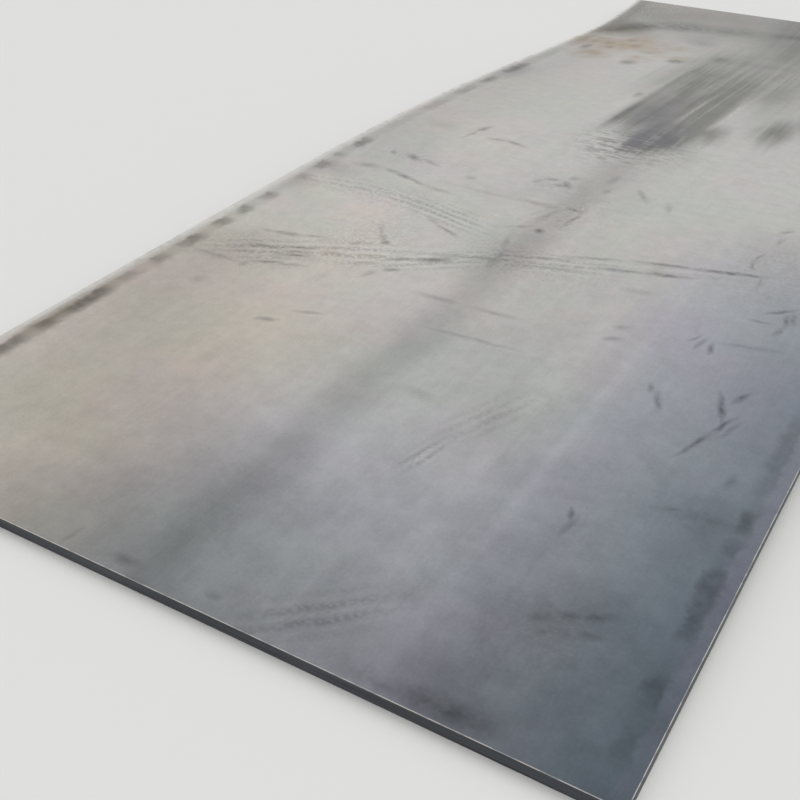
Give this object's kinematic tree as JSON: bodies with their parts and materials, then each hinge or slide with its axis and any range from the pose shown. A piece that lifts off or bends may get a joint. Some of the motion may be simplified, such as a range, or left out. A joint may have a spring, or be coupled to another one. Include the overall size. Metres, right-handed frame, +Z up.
{
  "type": "steel plate",
  "caption": "Hot-rolled steel plate, cut to length, lying free, with a lasting bend towards its far end; raw stock for cutting, welding and stacking.",
  "frame": {"origin": "centre of the box in X and Y, on the level floor that the plate lies on", "axes": "+X across the width, +Y along the rolling direction from the near end to the bent far end, +Z up"},
  "size_m": [2, 5.2992, 0.1035],
  "materials": {
    "mill_steel": "hot-rolled mill scale, rubbed and scratched, with rust and dirt near the far end"
  },
  "bodies": {
    "root": {"steel_plate": "mill_steel"}
  },
  "joints": []
}
